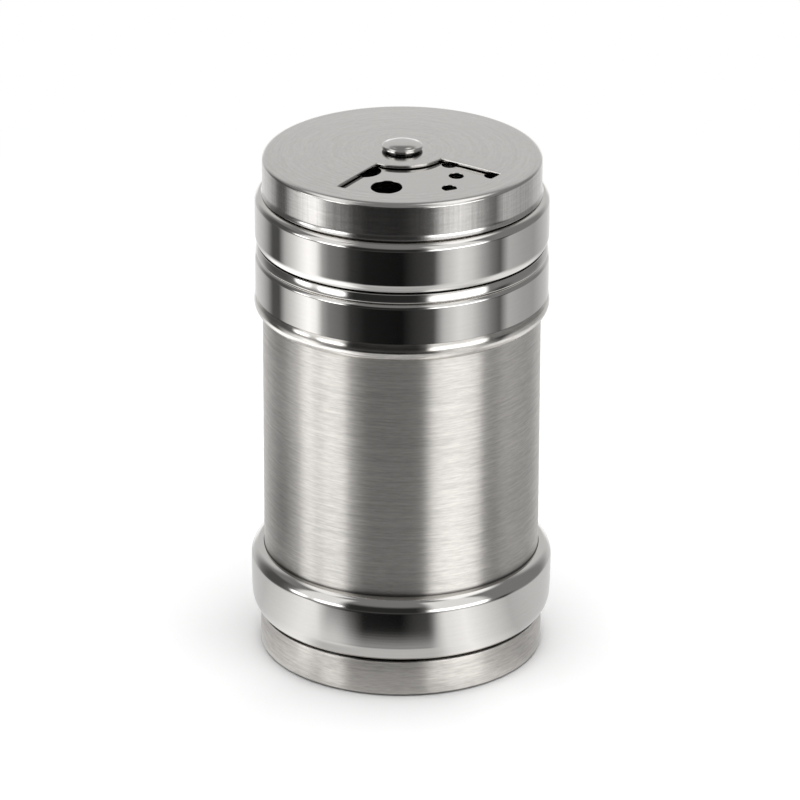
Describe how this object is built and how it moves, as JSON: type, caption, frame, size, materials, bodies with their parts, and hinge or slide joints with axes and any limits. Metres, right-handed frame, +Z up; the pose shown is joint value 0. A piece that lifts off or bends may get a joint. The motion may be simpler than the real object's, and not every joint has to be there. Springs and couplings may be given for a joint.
{
  "type": "spice shaker",
  "caption": "Upright steel spice shaker with polished bands, a perforated screw lid and a turning selector cap with a fan-shaped window.",
  "frame": {"origin": "centre of the rest face under the base cup", "axes": "+Z up along the shaker's axis, the selector window facing -Y"},
  "size_m": [0.0434, 0.0434, 0.0771],
  "materials": {
    "brushed_base": "horizontally brushed stainless steel",
    "brushed_tube": "horizontally brushed stainless steel",
    "satin_cap": "satin stainless steel, turned lines",
    "polished_steel": "mirror polished stainless steel",
    "bare_steel": "plain stainless steel",
    "seal_rubber": "translucent white silicone"
  },
  "bodies": {
    "container": {"base_cup": "brushed_base", "lower_band": "polished_steel", "body_tube": "brushed_tube", "neck_collar": "polished_steel"},
    "seal": {"seal_ring": "seal_rubber"},
    "lid": {"sifter_lid": "polished_steel", "thread_ring": "bare_steel", "rivet_washer": "polished_steel", "pivot_rivet": "polished_steel", "spring_washer": "bare_steel", "backing_washer": "bare_steel"},
    "selector": {"selector_cap": "satin_cap"}
  },
  "joints": [
    {"name": "lid_lift", "type": "slide", "parent": "container", "child": "seal", "axis": [0, 0, 1], "range_m": [0, 0.00601]},
    {"name": "lid_turn", "type": "hinge", "parent": "seal", "child": "lid", "pos_m": [0, 0, 0.066], "axis": [0, 0, 1], "range_deg": [0, 720]},
    {"name": "selector_turn", "type": "hinge", "parent": "lid", "child": "selector", "pos_m": [0, 0, 0.075], "axis": [0, 0, 1], "continuous": true}
  ],
  "couplings": [
    {"joint": "lid_lift", "follows": "lid_turn", "m_per_rad": 0.00047746}
  ]
}
